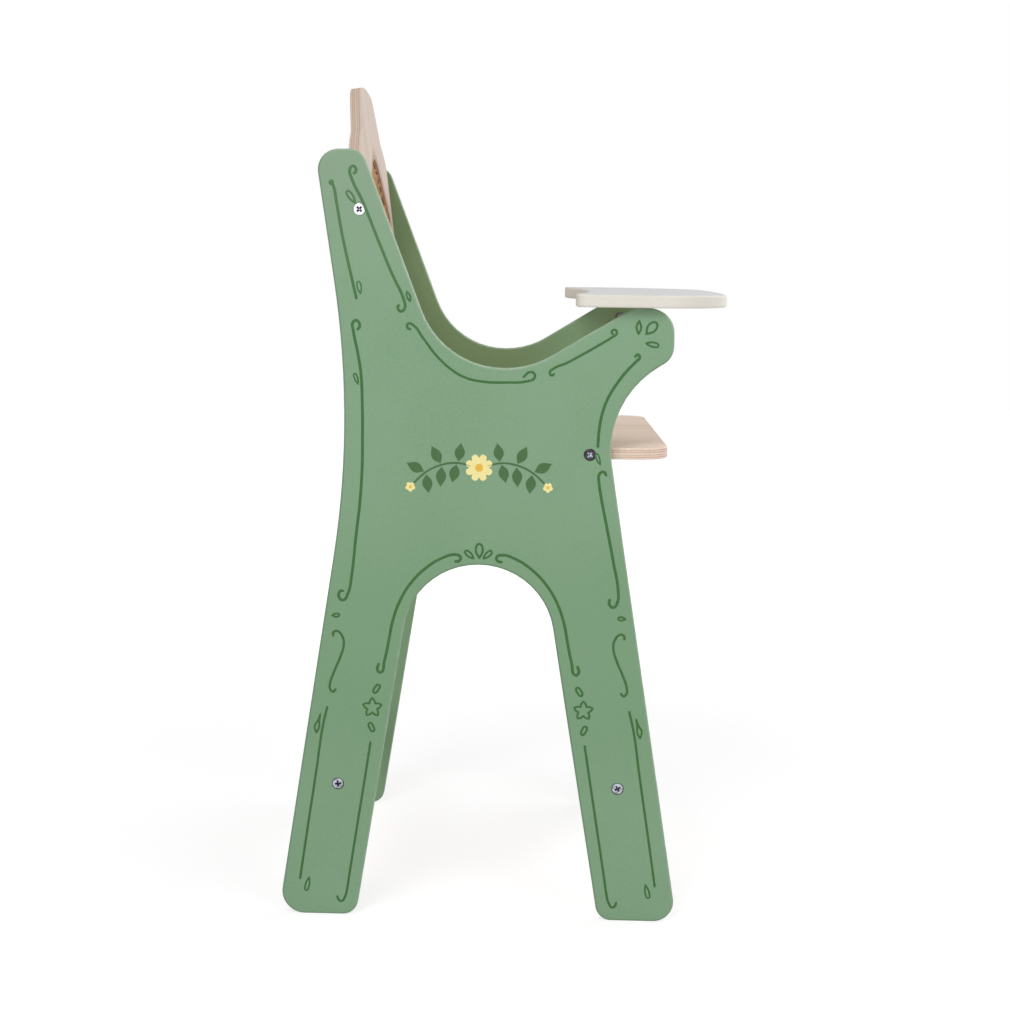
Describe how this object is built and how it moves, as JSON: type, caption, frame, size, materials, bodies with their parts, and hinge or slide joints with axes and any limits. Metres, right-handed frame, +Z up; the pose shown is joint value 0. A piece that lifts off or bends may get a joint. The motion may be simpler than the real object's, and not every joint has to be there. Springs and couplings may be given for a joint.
{
  "type": "doll high chair",
  "caption": "Toy high chair for dolls: two painted A-shaped side panels, plywood seat, reclined backrest with a cut-out window, and a fixed round-cornered tray.",
  "frame": {"origin": "on the floor, in the middle of the chair's width and of its depth, which runs from the tray's front edge to the rear feet", "axes": "+Z up, -Y to the front of the chair, where the tray is, and +X to the sitting doll's left"},
  "size_m": [0.281, 0.2947, 0.554],
  "materials": {
    "green_paint": "matte sage green paint on 8 mm plywood",
    "cream_paint": "satin off-white paint on 8 mm plywood",
    "birch_plywood": "plain sanded birch plywood with laser-darkened cuts",
    "beech_dowel": "plain beech",
    "zinc_steel": "bright zinc plate"
  },
  "bodies": {
    "root": {"side_panel_right": "green_paint", "side_panel_left": "green_paint", "seat": "birch_plywood", "backrest": "birch_plywood", "tray": "cream_paint", "rear_rail": "birch_plywood", "front_rail": "birch_plywood", "backrest_screw_right": "zinc_steel", "backrest_screw_left": "zinc_steel", "seat_screw_right": "zinc_steel", "seat_screw_left": "zinc_steel", "rear_rail_screw_right": "zinc_steel", "rear_rail_screw_left": "zinc_steel", "front_rail_screw_right": "zinc_steel", "front_rail_screw_left": "zinc_steel", "tray_screw_right": "zinc_steel", "tray_screw_left": "zinc_steel", "backrest_nut_right": "zinc_steel", "backrest_nut_left": "zinc_steel", "seat_nut_right": "zinc_steel", "seat_nut_left": "zinc_steel", "rear_rail_nut_right": "zinc_steel", "rear_rail_nut_left": "zinc_steel", "front_rail_nut_right": "zinc_steel", "front_rail_nut_left": "zinc_steel", "tray_nut_right": "zinc_steel", "tray_nut_left": "zinc_steel", "backrest_dowel_right": "beech_dowel", "backrest_dowel_left": "beech_dowel", "seat_dowel_right": "beech_dowel", "seat_dowel_left": "beech_dowel", "rear_rail_upper_dowel_right": "beech_dowel", "rear_rail_upper_dowel_left": "beech_dowel", "rear_rail_lower_dowel_right": "beech_dowel", "rear_rail_lower_dowel_left": "beech_dowel", "front_rail_upper_dowel_right": "beech_dowel", "front_rail_upper_dowel_left": "beech_dowel", "front_rail_lower_dowel_right": "beech_dowel", "front_rail_lower_dowel_left": "beech_dowel"}
  },
  "joints": []
}
